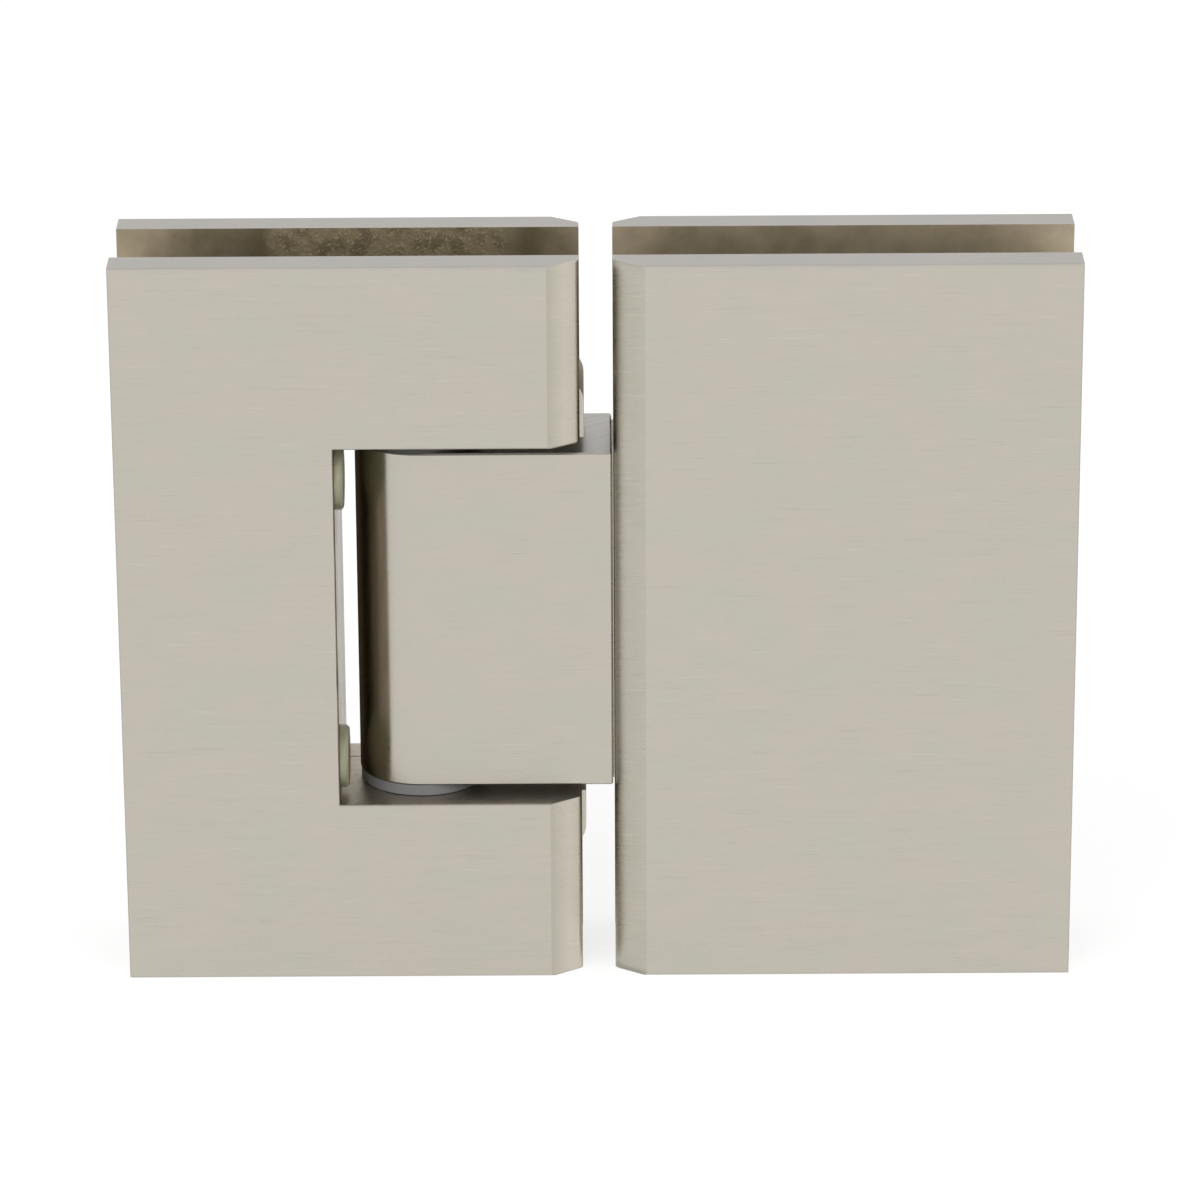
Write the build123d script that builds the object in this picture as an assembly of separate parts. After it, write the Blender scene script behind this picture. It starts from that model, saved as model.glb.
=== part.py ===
from build123d import *
import os

# Glass-to-glass shower door hinge, lying flat at 180 degrees, standing on its lower edges.
# +X runs across both leaves, from the door leaf to the fixed leaf. +Y runs from the clean
# outer side to the screw side. +Z runs up along the hinge pin. The origin is the middle of
# the gap between the leaves, halfway through the thickness, at the lower edges. All in mm.

# Glass and clamp
GLASS_THICKNESS = 10.0
GASKET_THICKNESS = 0.8
PLATE_THICKNESS = 4.6

# Leaves
LEAF_HEIGHT = 90.0
LEAF_WIDTH = 55.0
LEAF_GAP = 4.0
SWING_CHAMFER_WIDTH = 3.8
SWING_CHAMFER_DEPTH = 2.7
EDGE_ROUND = 0.4
SWING_EDGE_ROUND = 0.8

# Pivot block, its barrel and the notch that it turns in
PIVOT_SETBACK = 19.3
TONGUE_THICKNESS = 15.2
TONGUE_HEIGHT = 42.2
TONGUE_EDGE_CHAMFER = 0.2
BARREL_CLEARANCE = 2.1
SHOULDER_GAP = 0.2
ROOT_SETBACK = 0.4
ROOT_CLEARANCE = 0.2

# Filled part of the glass cut-out: rim round the notch, and ears for the clamp screws
CORE_RIM = 7.5
CORE_CORNER_ROUND = 3.0
CORE_REACH = 0.5
EAR_RADIUS = 6.0
EAR_INSET = 1.8
FRONT_BOSS_DEPTH = 4.2
PARTING_GAP = 0.2

# Pin, bushes and thrust washers
PIN_DIAMETER = 8.0
PIN_GRIP_LENGTH = 6.0
PIN_GRIP_FLATS = 7.0
PIN_GRIP_CLEARANCE = 0.05
PIN_KEY_CLEARANCE = 0.1
PIN_RUNNING_CLEARANCE = 0.03
BUSH_WALL = 1.5
BUSH_LENGTH = 12.0
BUSH_SEAT_CLEARANCE = 0.02
WASHER_THICKNESS = 1.3
WASHER_DIAMETER = 15.0
WASHER_BORE_CLEARANCE = 0.1
WASHER_PLAY = 0.1

# Detent that holds the door shut and at right angles
DETENT_FLATS = 6.8
DETENT_FLATS_LENGTH = 11.0
PLUNGER_DIAMETER = 7.9
PLUNGER_CLEARANCE = 0.05
PLUNGER_LENGTH = 12.0
SPIGOT_DIAMETER = 3.8
SPIGOT_LENGTH = 4.0
SPRING_LENGTH = 10.0
SPRING_BULGE_ROOM = 0.4
SPRING_BORE_CLEARANCE = 0.1
SET_SCREW_LENGTH = 8.0
SET_SCREW_SOCKET = 4.0
SET_SCREW_SOCKET_DEPTH = 4.0

# Clamp screws, M6 countersunk with hexagon socket
SCREW_DIAMETER = 6.0
SCREW_LENGTH = 16.0
SCREW_HEAD_DIAMETER = 12.0
SCREW_HEAD_SINK = 0.2
SCREW_SOCKET = 4.0
SCREW_SOCKET_DEPTH = 2.4
SCREW_TIP_ROOM = 1.0
SCREW_SEAT_CLEARANCE = 0.05
SCREW_HOLE_CLEARANCE = 0.2
THREAD_BOSS_DIAMETER = 9.0
THREAD_BOSS_CLEARANCE = 0.1

# Gaskets
GASKET_INSET = 4.5
GASKET_CORE_CLEARANCE = 0.8

# Buffer buttons in the back wall of the notch
BUFFER_DIAMETER = 7.6
BUFFER_HEAD = 1.0
BUFFER_STEM_DIAMETER = 4.0
BUFFER_STEM_LENGTH = 4.0
BUFFER_STEM_CLEARANCE = 0.05
BUFFER_CORNER_GAP = 1.0
BUFFER_FRONT_GAP = 0.4
BUFFER_CHAMFER = 0.3

# Signs along X and Y
DOOR, FIXED = -1, 1
FRONT, REAR = -1, 1

# Places that follow from the sizes above
CLAMP_GAP = GLASS_THICKNESS + 2 * GASKET_THICKNESS
HALF_GAP = CLAMP_GAP / 2
HALF_DEPTH = HALF_GAP + PLATE_THICKNESS
MID_Z = LEAF_HEIGHT / 2
HALF_LEAF_GAP = LEAF_GAP / 2
RIM_END_Y = HALF_GAP - PARTING_GAP
BOSS_END_Y = FRONT_BOSS_DEPTH - HALF_GAP

PIN_RADIUS = PIN_DIAMETER / 2
PIVOT_X = -HALF_LEAF_GAP - PIVOT_SETBACK
BARREL_RADIUS = TONGUE_THICKNESS / 2
NOTCH_WALL_X = PIVOT_X - BARREL_RADIUS - BARREL_CLEARANCE
NOTCH_HEIGHT = TONGUE_HEIGHT + 2 * (WASHER_THICKNESS + WASHER_PLAY)
SHOULDER_X = HALF_LEAF_GAP - SHOULDER_GAP

CORE_FAR_X = CORE_RIM - NOTCH_WALL_X
CORE_HEIGHT = NOTCH_HEIGHT + 2 * CORE_RIM
EAR_X = CORE_FAR_X - EAR_INSET
EAR_RISE = CORE_HEIGHT / 2 - EAR_INSET

BUSH_RADIUS = PIN_RADIUS + PIN_RUNNING_CLEARANCE + BUSH_WALL
PIN_BORE_RADIUS = BUSH_RADIUS + BUSH_SEAT_CLEARANCE

DETENT_BORE_RADIUS = PLUNGER_DIAMETER / 2 + PLUNGER_CLEARANCE
PLUNGER_TIP_X = PIVOT_X + PIN_RADIUS + PLUNGER_CLEARANCE
SPRING_START_X = PLUNGER_TIP_X + PLUNGER_LENGTH
SET_SCREW_X = SPRING_START_X + SPRING_LENGTH

SCREW_RADIUS = SCREW_DIAMETER / 2
SCREW_TOP_Y = HALF_DEPTH - SCREW_HEAD_SINK
TAPPED_RADIUS = SCREW_RADIUS + SCREW_SEAT_CLEARANCE
TAPPED_END_Y = SCREW_TOP_Y - SCREW_LENGTH - SCREW_TIP_ROOM
SCREW_HOLE_RADIUS = SCREW_RADIUS + SCREW_HOLE_CLEARANCE


def slab(sketch, y_low, y_high):
    """A flat solid from an outline drawn in X and Z, between two depths."""
    return extrude(Plane.XZ.offset(-y_low) * sketch, amount=y_high - y_low, dir=(0, 1, 0))


def box_between(low, high):
    """A box from its lowest to its highest corner."""
    size = Vector(*high) - Vector(*low)
    middle = (Vector(*high) + Vector(*low)) * 0.5
    return Pos(middle.X, middle.Y, middle.Z) * Box(size.X, size.Y, size.Z)


def rod(radius, start, direction, length):
    """A round rod from a start point along a direction."""
    return extrude(Plane(origin=start, z_dir=direction) * Circle(radius), amount=length)


def ear_centres(side):
    """The two clamp screw places of a leaf, as X and Z."""
    return [(side * EAR_X, MID_Z + rise) for rise in (-EAR_RISE, EAR_RISE)]


def core_outline(side, start_x, clearance=0.0):
    """Outline of the glass cut-out's filling: a block with a round ear at each far corner."""
    width = CORE_FAR_X + clearance - start_x
    height = CORE_HEIGHT + 2 * clearance
    block = Pos(side * (start_x + width / 2), MID_Z) * Rectangle(width, height)
    corners = block.vertices().sort_by(Axis.X)
    near_corners = corners[-2:] if side == DOOR else corners[:2]
    outline = fillet(near_corners, CORE_CORNER_ROUND)
    for x, z in ear_centres(side):
        outline += Pos(x, z) * Circle(EAR_RADIUS + clearance)
    return outline


def plate_blank(side, layer):
    """A leaf's plate before its holes: bevelled along the hinge line, where the leaves swing past."""
    near_x = side * HALF_LEAF_GAP
    far_x = side * (HALF_LEAF_GAP + LEAF_WIDTH)
    bevel_x = side * (HALF_LEAF_GAP + SWING_CHAMFER_WIDTH)
    inner_y = layer * HALF_GAP
    outer_y = layer * HALF_DEPTH
    bevel_y = layer * (HALF_DEPTH - SWING_CHAMFER_DEPTH)
    section = Polyline(
        (far_x, inner_y),
        (far_x, outer_y),
        (bevel_x, outer_y),
        (near_x, bevel_y),
        (near_x, inner_y),
        close=True,
    )
    profile = make_face(section)
    swing_corner = profile.vertices().sort_by_distance((near_x, bevel_y))[0]
    return extrude(fillet(swing_corner, SWING_EDGE_ROUND), amount=LEAF_HEIGHT, dir=(0, 0, 1))


def soften_outer_face(plate, layer):
    """Rounds the edges of the brushed face and of the bevel, as polishing leaves them."""
    by_depth = plate.faces().sort_by(Axis.Y)
    outer_face = by_depth[0] if layer == FRONT else by_depth[-1]
    return fillet(outer_face.edges(), EDGE_ROUND)


def notch():
    """The opening in both door plates that takes the barrel and tongue."""
    half = NOTCH_HEIGHT / 2
    return box_between(
        (NOTCH_WALL_X, -2 * HALF_DEPTH, MID_Z - half),
        (LEAF_WIDTH, 2 * HALF_DEPTH, MID_Z + half),
    )


def pin_slots():
    """Seats for the two flat-sided ends of the pin, which goes in from the rear."""
    half_width = PIN_RADIUS + PIN_GRIP_CLEARANCE
    half_height = NOTCH_HEIGHT / 2 + PIN_GRIP_LENGTH + PIN_GRIP_CLEARANCE
    return box_between(
        (PIVOT_X - half_width, -PIN_GRIP_FLATS / 2 - PIN_GRIP_CLEARANCE, MID_Z - half_height),
        (PIVOT_X + half_width, HALF_GAP, MID_Z + half_height),
    )


def pin_keys():
    """Blocks on the rear plate that close the slots behind the pin's ends."""
    half_width = PIN_RADIUS - PIN_KEY_CLEARANCE
    half_height = NOTCH_HEIGHT / 2 + PIN_GRIP_LENGTH - PIN_KEY_CLEARANCE
    keys = box_between(
        (PIVOT_X - half_width, PIN_GRIP_FLATS / 2 + PIN_GRIP_CLEARANCE, MID_Z - half_height),
        (PIVOT_X + half_width, HALF_GAP, MID_Z + half_height),
    )
    return keys - notch()


def countersunk_hole(x, z):
    """Cutter for one clamp screw in a rear plate."""
    head_radius = SCREW_HEAD_DIAMETER / 2 + SCREW_SEAT_CLEARANCE
    section = Polyline(
        (0, 0),
        (head_radius, 0),
        (head_radius, -SCREW_HEAD_SINK),
        (SCREW_HOLE_RADIUS, SCREW_HOLE_RADIUS - SCREW_HEAD_SINK - head_radius),
        (SCREW_HOLE_RADIUS, -2 * PLATE_THICKNESS),
        (0, -2 * PLATE_THICKNESS),
        close=True,
    )
    cutter = revolve(Plane.XZ * make_face(section), axis=Axis.Z)
    return Pos(x, HALF_DEPTH, z) * Rot(X=-90) * cutter


def tapped_hole(x, z, start_y):
    """Cutter for one clamp screw's blind thread in a front plate."""
    return rod(TAPPED_RADIUS, (x, start_y, z), (0, -1, 0), start_y - TAPPED_END_Y)


def buffer_places():
    """Places of the two buttons on the notch's back wall, near its front edge."""
    y = BUFFER_FRONT_GAP + BUFFER_DIAMETER / 2 - HALF_DEPTH
    rise = NOTCH_HEIGHT / 2 - BUFFER_CORNER_GAP - BUFFER_DIAMETER / 2
    return [(NOTCH_WALL_X, y, MID_Z - rise), (NOTCH_WALL_X, y, MID_Z + rise)]


def door_front_plate():
    """Clean outer plate of the door leaf, with the rim round the notch and its blind threads."""
    plate = soften_outer_face(plate_blank(DOOR, FRONT) - notch(), FRONT)
    plate += slab(core_outline(DOOR, HALF_LEAF_GAP - CORE_REACH), -HALF_GAP, RIM_END_Y) - notch()
    plate -= pin_slots()
    for x, z in ear_centres(DOOR):
        plate -= tapped_hole(x, z, RIM_END_Y)
    for place in buffer_places():
        stem_hole = BUFFER_STEM_LENGTH + BUFFER_STEM_CLEARANCE
        plate -= rod(BUFFER_STEM_DIAMETER / 2 + BUFFER_STEM_CLEARANCE, place, (-1, 0, 0), stem_hole)
    return plate


def door_rear_plate():
    """Screw-side plate of the door leaf, with the two keys that hold the pin."""
    plate = soften_outer_face(plate_blank(DOOR, REAR) - notch(), REAR)
    plate += pin_keys()
    for x, z in ear_centres(DOOR):
        plate -= countersunk_hole(x, z)
    return plate


def fixed_front_plate():
    """Clean outer plate of the fixed leaf, with two threaded bosses."""
    plate = soften_outer_face(plate_blank(FIXED, FRONT), FRONT)
    for x, z in ear_centres(FIXED):
        plate += rod(THREAD_BOSS_DIAMETER / 2, (x, -HALF_GAP, z), (0, 1, 0), FRONT_BOSS_DEPTH)
        plate -= tapped_hole(x, z, BOSS_END_Y)
    return plate


def fixed_rear_plate():
    """Screw-side plate of the fixed leaf."""
    plate = soften_outer_face(plate_blank(FIXED, REAR), REAR)
    for x, z in ear_centres(FIXED):
        plate -= countersunk_hole(x, z)
    return plate


def gasket(side, layer):
    """Soft sheet between plate and glass, cut out round the glass cut-out."""
    width = LEAF_WIDTH - 2 * GASKET_INSET
    height = LEAF_HEIGHT - 2 * GASKET_INSET
    sheet = Pos(side * (HALF_LEAF_GAP + LEAF_WIDTH / 2), MID_Z) * Rectangle(width, height)
    sheet -= core_outline(side, -HALF_LEAF_GAP, GASKET_CORE_CLEARANCE)
    depths = sorted((layer * HALF_GAP, layer * (HALF_GAP - GASKET_THICKNESS)))
    return slab(sheet, *depths)


def pivot_block():
    """Tongue with its round barrel, and the root that the fixed plates hold."""
    half_tongue = TONGUE_HEIGHT / 2
    tongue = Pos(PIVOT_X, 0) * Circle(BARREL_RADIUS)
    tongue_length = SHOULDER_X - PIVOT_X
    tongue += Pos(PIVOT_X + tongue_length / 2, 0) * Rectangle(tongue_length, TONGUE_THICKNESS)
    block = extrude(Pos(0, 0, MID_Z - half_tongue) * tongue, amount=TONGUE_HEIGHT)
    rims = block.faces().sort_by(Axis.Z)
    shoulder = block.faces().sort_by(Axis.X)[-1]
    worked_edges = rims[0].edges() + rims[-1].edges() + shoulder.edges().filter_by(Axis.Z)
    block = chamfer(worked_edges, TONGUE_EDGE_CHAMFER)

    half_root = HALF_GAP - ROOT_CLEARANCE
    neck_length = CORE_FAR_X - SHOULDER_X
    root = core_outline(FIXED, HALF_LEAF_GAP + ROOT_SETBACK)
    neck_height = TONGUE_HEIGHT - 2 * TONGUE_EDGE_CHAMFER
    root += Pos(SHOULDER_X + neck_length / 2, MID_Z) * Rectangle(neck_length, neck_height)
    block += slab(root, -half_root, half_root)

    block -= rod(PIN_BORE_RADIUS, (PIVOT_X, 0, MID_Z - half_tongue), (0, 0, 1), TONGUE_HEIGHT)
    block -= rod(DETENT_BORE_RADIUS, (PIVOT_X, 0, MID_Z), (1, 0, 0), CORE_FAR_X - PIVOT_X)
    counterbore = THREAD_BOSS_DIAMETER / 2 + THREAD_BOSS_CLEARANCE
    for x, z in ear_centres(FIXED):
        block -= rod(SCREW_HOLE_RADIUS, (x, -HALF_GAP, z), (0, 1, 0), CLAMP_GAP)
        block -= rod(counterbore, (x, -HALF_GAP, z), (0, 1, 0), FRONT_BOSS_DEPTH + PARTING_GAP)
    return block


def pivot_pin():
    """Pin with flat-sided ends that the door plates hold, and flats at mid-height for the detent."""
    half_length = NOTCH_HEIGHT / 2 + PIN_GRIP_LENGTH
    pin = rod(PIN_RADIUS, (PIVOT_X, 0, MID_Z - half_length), (0, 0, 1), 2 * half_length)
    grip = box_between(
        (PIVOT_X - PIN_DIAMETER, -PIN_GRIP_FLATS / 2, 0),
        (PIVOT_X + PIN_DIAMETER, PIN_GRIP_FLATS / 2, PIN_GRIP_LENGTH),
    )
    waist = Pos(PIVOT_X, 0, MID_Z) * Box(DETENT_FLATS, DETENT_FLATS, DETENT_FLATS_LENGTH)
    stem_length = (NOTCH_HEIGHT - DETENT_FLATS_LENGTH) / 2
    stem = Pos(PIVOT_X, 0, 0) * Cylinder(PIN_DIAMETER, stem_length)
    lower_grip = Pos(0, 0, MID_Z - half_length) * grip
    upper_grip = Pos(0, 0, MID_Z + half_length - PIN_GRIP_LENGTH) * grip
    stem_rise = (DETENT_FLATS_LENGTH + stem_length) / 2
    envelope = lower_grip + upper_grip + waist
    envelope += Pos(0, 0, MID_Z - stem_rise) * stem
    envelope += Pos(0, 0, MID_Z + stem_rise) * stem
    return pin & envelope


def ring(outer_radius, inner_radius, z_low, height):
    """A plain ring round the pin."""
    section = Circle(outer_radius) - Circle(inner_radius)
    return extrude(Pos(PIVOT_X, 0, z_low) * section, amount=height)


def bush(z_low):
    """Plain bearing sleeve between the pin and the pivot block."""
    return ring(BUSH_RADIUS, PIN_RADIUS + PIN_RUNNING_CLEARANCE, z_low, BUSH_LENGTH)


def thrust_washer(z_low):
    """Washer between the tongue and an arm of the notch."""
    return ring(WASHER_DIAMETER / 2, PIN_RADIUS + WASHER_BORE_CLEARANCE, z_low, WASHER_THICKNESS)


def detent_plunger():
    """Round plunger that presses on the pin's flats, with a spigot for its spring."""
    plunger = rod(PLUNGER_DIAMETER / 2, (PLUNGER_TIP_X, 0, MID_Z), (1, 0, 0), PLUNGER_LENGTH)
    return plunger + rod(SPIGOT_DIAMETER / 2, (SPRING_START_X, 0, MID_Z), (1, 0, 0), SPIGOT_LENGTH)


def detent_spring():
    """Polyurethane spring: a thick sleeve over the spigot, with room to bulge in its bore."""
    outer_radius = DETENT_BORE_RADIUS - SPRING_BULGE_ROOM
    sleeve = rod(outer_radius, (SPRING_START_X, 0, MID_Z), (1, 0, 0), SPRING_LENGTH)
    bore_radius = SPIGOT_DIAMETER / 2 + SPRING_BORE_CLEARANCE
    return sleeve - rod(bore_radius, (SPRING_START_X, 0, MID_Z), (1, 0, 0), SPRING_LENGTH)


def hexagon_socket(across_flats, origin, direction, depth):
    """Cutter for a hexagon key's socket."""
    hexagon = RegularPolygon(across_flats / 2, 6, major_radius=False)
    return extrude(Plane(origin=origin, z_dir=direction) * hexagon, amount=depth)


def detent_set_screw():
    """Grub screw that backs the detent spring, set from the far end of the pivot block."""
    end_x = SET_SCREW_X + SET_SCREW_LENGTH
    screw = rod(PLUNGER_DIAMETER / 2, (SET_SCREW_X, 0, MID_Z), (1, 0, 0), SET_SCREW_LENGTH)
    return screw - hexagon_socket(SET_SCREW_SOCKET, (end_x, 0, MID_Z), (-1, 0, 0), SET_SCREW_SOCKET_DEPTH)


def clamp_screw(x, z):
    """One countersunk screw, its head just under the face of the rear plate."""
    head_radius = SCREW_HEAD_DIAMETER / 2
    section = Polyline(
        (0, 0),
        (head_radius, 0),
        (SCREW_RADIUS, SCREW_RADIUS - head_radius),
        (SCREW_RADIUS, -SCREW_LENGTH),
        (0, -SCREW_LENGTH),
        close=True,
    )
    screw = revolve(Plane.XZ * make_face(section), axis=Axis.Z)
    screw -= hexagon_socket(SCREW_SOCKET, (0, 0, 0), (0, 0, -1), SCREW_SOCKET_DEPTH)
    return Pos(x, SCREW_TOP_Y, z) * Rot(X=-90) * screw


def clamp_screws(side):
    """Both clamp screws of a leaf, as separate solids."""
    return Compound([clamp_screw(x, z).solid() for x, z in ear_centres(side)])


def buffer_button(place):
    """Soft button with a stem pressed into the notch's back wall."""
    head = rod(BUFFER_DIAMETER / 2, place, (1, 0, 0), BUFFER_HEAD)
    head = chamfer(head.faces().sort_by(Axis.X)[-1].edges(), BUFFER_CHAMFER)
    return head + rod(BUFFER_STEM_DIAMETER / 2, place, (-1, 0, 0), BUFFER_STEM_LENGTH)


def all_pieces():
    """Every piece under its node's name."""
    tongue_low = MID_Z - TONGUE_HEIGHT / 2
    tongue_high = MID_Z + TONGUE_HEIGHT / 2
    lower_place, upper_place = buffer_places()
    return {
        "door_front_plate": door_front_plate(),
        "door_rear_plate": door_rear_plate(),
        "door_front_gasket": gasket(DOOR, FRONT),
        "door_rear_gasket": gasket(DOOR, REAR),
        "door_clamp_screws": clamp_screws(DOOR),
        "lower_buffer": buffer_button(lower_place),
        "upper_buffer": buffer_button(upper_place),
        "pivot_pin": pivot_pin(),
        "fixed_front_plate": fixed_front_plate(),
        "fixed_rear_plate": fixed_rear_plate(),
        "fixed_front_gasket": gasket(FIXED, FRONT),
        "fixed_rear_gasket": gasket(FIXED, REAR),
        "fixed_clamp_screws": clamp_screws(FIXED),
        "pivot_block": pivot_block(),
        "lower_bush": bush(tongue_low),
        "upper_bush": bush(tongue_high - BUSH_LENGTH),
        "lower_thrust_washer": thrust_washer(tongue_low - WASHER_THICKNESS),
        "upper_thrust_washer": thrust_washer(tongue_high),
        "detent_plunger": detent_plunger(),
        "detent_spring": detent_spring(),
        "detent_set_screw": detent_set_screw(),
    }


os.makedirs("parts", exist_ok=True)
for node, piece in all_pieces().items():
    export_step(piece, os.path.join("parts", node + ".step"))
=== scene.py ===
# %% [markdown]
# A glass-to-glass shower door hinge
#
# The hinge clamps two panes of glass, one per leaf, and lets the door pane swing on a hidden pin.
# Every solid piece is already modelled at its real size and place, so this lesson loads those solids
# as a fixed frame and gives each surface the finish that it has on the real hinge.

# %% Load the hinge
import math

import bpy
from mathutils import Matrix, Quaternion, Vector


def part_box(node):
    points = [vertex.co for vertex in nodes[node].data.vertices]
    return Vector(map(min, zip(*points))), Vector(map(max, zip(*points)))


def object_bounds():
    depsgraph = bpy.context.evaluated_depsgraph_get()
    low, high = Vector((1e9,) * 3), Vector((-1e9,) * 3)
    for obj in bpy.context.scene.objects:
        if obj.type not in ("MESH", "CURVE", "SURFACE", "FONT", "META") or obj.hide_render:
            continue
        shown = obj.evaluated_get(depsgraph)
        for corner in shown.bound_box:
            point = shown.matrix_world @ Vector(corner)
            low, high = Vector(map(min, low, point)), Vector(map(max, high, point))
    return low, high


MM = 0.001

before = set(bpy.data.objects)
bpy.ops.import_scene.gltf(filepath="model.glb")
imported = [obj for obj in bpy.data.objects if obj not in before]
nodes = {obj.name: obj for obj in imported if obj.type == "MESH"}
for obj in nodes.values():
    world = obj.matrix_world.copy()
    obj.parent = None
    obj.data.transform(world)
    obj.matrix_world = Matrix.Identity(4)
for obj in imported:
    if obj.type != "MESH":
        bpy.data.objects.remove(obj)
cad_low, cad_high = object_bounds()
print("Loaded", len(nodes), "pieces, overall size in mm:", [round(x / MM, 2) for x in cad_high - cad_low])

# %% [markdown]
# Camera
#
# The camera was matched to the picture by the corners of the four plates: it stands straight in front
# of the hinge, looks down by 20 degrees, and has a long lens, so that the upright edges converge only
# a little. It could be aimed by hand or by a constraint. Here its turn is worked out from the point that
# it looks at, so that a change of distance or height keeps the hinge in the middle.

# %% Camera
PICTURE_SIDE_PX = 1200
FOCAL_LENGTH_PX = 6069
CAMERA_DISTANCE_MM = 733.4
CAMERA_ELEVATION = math.radians(20.1)
CAMERA_ROLL = -0.0054
NEAREST_VIEW_MM = 50
AIM_POINT = Vector((0.32, 1.6, 44.25)) * MM

camera_data = bpy.data.cameras.new("product_camera")
camera_data.lens = camera_data.sensor_width * FOCAL_LENGTH_PX / PICTURE_SIDE_PX
camera_data.clip_start = NEAREST_VIEW_MM * MM
camera = bpy.data.objects.new("product_camera", camera_data)
bpy.context.scene.collection.objects.link(camera)
backward = Vector((0, -math.cos(CAMERA_ELEVATION), math.sin(CAMERA_ELEVATION)))
camera.location = AIM_POINT + backward * CAMERA_DISTANCE_MM * MM
camera.rotation_mode = "QUATERNION"
aim = (-backward).to_track_quat("-Z", "Y")
camera.rotation_quaternion = aim @ Quaternion((0, 0, 1), CAMERA_ROLL)
bpy.context.scene.camera = camera
bpy.context.scene.view_settings.view_transform = "Standard"
print("Lens", round(camera_data.lens, 1), "mm at", [round(x, 3) for x in camera.location])

# %% [markdown]
# Colours and nodes
#
# Colours are picked as sRGB hex values, as a paint program shows them, but shaders work with linear
# light, so one function turns the one into the other. A shader is a tree of nodes, which could be drawn
# by hand in the shader editor. Here one more function adds a node with its settings and links, so that
# each material below reads from top to bottom. A Mix node has sockets for numbers, vectors and colours
# side by side, so the four that mix colours get names.

# %% Colour and node helpers
SHARE = 0
FIRST = 6
SECOND = 7
MIXED = 2
COLOUR_MIX = {"data_type": "RGBA"}
COLOUR_PRODUCT = {"data_type": "RGBA", "blend_type": "MULTIPLY"}


def linear(hex_colour):
    """A hex colour such as C2BAB0 as linear red, green, blue and alpha."""
    shares = [int(hex_colour[i:i + 2], 16) / 255 for i in (0, 2, 4)]
    curve = [s / 12.92 if s <= 0.04045 else ((s + 0.055) / 1.055) ** 2.4 for s in shares]
    return (*curve, 1.0)


def add_node(tree, kind, settings=None, values=None, links=None):
    """Adds a node, sets its options and its input values, and links outputs of others to its inputs."""
    node = tree.nodes.new(kind)
    for name, value in (settings or {}).items():
        setattr(node, name, value)
    for socket, value in (values or {}).items():
        node.inputs[socket].default_value = value
    for socket, output in (links or {}).items():
        tree.links.new(output, node.inputs[socket])
    return node


def new_material(name):
    """An empty node material, its tree of nodes, and the socket that its last shader goes to."""
    material = bpy.data.materials.new(name)
    material.use_nodes = True
    tree = material.node_tree
    tree.nodes.clear()
    surface = add_node(tree, "ShaderNodeOutputMaterial").inputs["Surface"]
    return material, tree, surface


print("Nickel plate in linear light:", [round(x, 3) for x in linear("C2BAB0")])

# %% [markdown]
# White floor and air
#
# The hinge stands on a sheet of white paper. Stronger lamps could make the paper white, but they would
# bleach the nickel too. So the Light Path node tells apart what a ray is for: a camera, glossy or
# transmission ray meets plain white, and every other ray meets light of an ordinary level. The floor is
# still partly a real matt surface, so it keeps a faint shadow under the plates.

# %% White air
WHITE = "FFFFFF"
AIR_LIGHT = 0.55


def seen_directly(tree):
    """Output that is 1 for rays from the camera and from mirrors or glass, and 0 for the rest."""
    path = add_node(tree, "ShaderNodeLightPath")
    camera_or_gloss = add_node(tree, "ShaderNodeMath", {"operation": "MAXIMUM"}, links={
        0: path.outputs["Is Camera Ray"], 1: path.outputs["Is Glossy Ray"]})
    seen = add_node(tree, "ShaderNodeMath", {"operation": "MAXIMUM"}, links={
        0: camera_or_gloss.outputs[0], 1: path.outputs["Is Transmission Ray"]})
    return seen.outputs[0]


world = bpy.data.worlds.new("studio_air")
world.use_nodes = True
air = world.node_tree
air.nodes.clear()
air_strength = add_node(air, "ShaderNodeMapRange", values={"To Min": AIR_LIGHT, "To Max": 1.0}, links={
    "Value": seen_directly(air)})
air_shader = add_node(air, "ShaderNodeBackground", values={"Color": linear(WHITE)}, links={
    "Strength": air_strength.outputs[0]})
add_node(air, "ShaderNodeOutputWorld", links={"Surface": air_shader.outputs[0]})
bpy.context.scene.world = world
print("Air lights the hinge at", AIR_LIGHT, "and looks white")

# %% White floor
FLOOR_GLOW = 0.80
FLOOR_SIDE_M = 8.0
PAPER_SHADE = "969696"

# Matt paper gives a plain white ground with a soft shadow.
floor_material, tree, surface = new_material("white_paper_sweep")
paper = add_node(tree, "ShaderNodeBsdfDiffuse", values={"Color": linear(PAPER_SHADE)})
glow_strength = add_node(tree, "ShaderNodeMath", {"operation": "MULTIPLY"}, {1: FLOOR_GLOW}, {
    0: seen_directly(tree)})
glow = add_node(tree, "ShaderNodeEmission", values={"Color": linear(WHITE)}, links={
    "Strength": glow_strength.outputs[0]})
glowing_paper = add_node(tree, "ShaderNodeAddShader", links={0: paper.outputs[0], 1: glow.outputs[0]})
tree.links.new(glowing_paper.outputs[0], surface)

bpy.ops.mesh.primitive_plane_add(size=FLOOR_SIDE_M, location=(0, 0, cad_low.z))
floor = bpy.context.object
floor.name = "floor"
floor.data.materials.append(floor_material)
print("Floor at", round(floor.location.z, 4), "m,", FLOOR_SIDE_M, "m wide")

# %% [markdown]
# Soft boxes
#
# Two large square lamps light the plastics and the floor, as in a studio. Small lamps would give hard
# shadows. The metal doesn't mirror these two, so that no edge glints brighter than the white round it:
# an object's ray visibility can be switched off for glossy rays alone.

# %% Soft boxes
SOFT_BOX_SIDE_M = 0.9
KEY_PLACE_M = (-0.55, -0.75, 0.95)
KEY_WATTS = 5.0
FILL_PLACE_M = (0.75, -0.65, 0.60)
FILL_WATTS = 3.0


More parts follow.
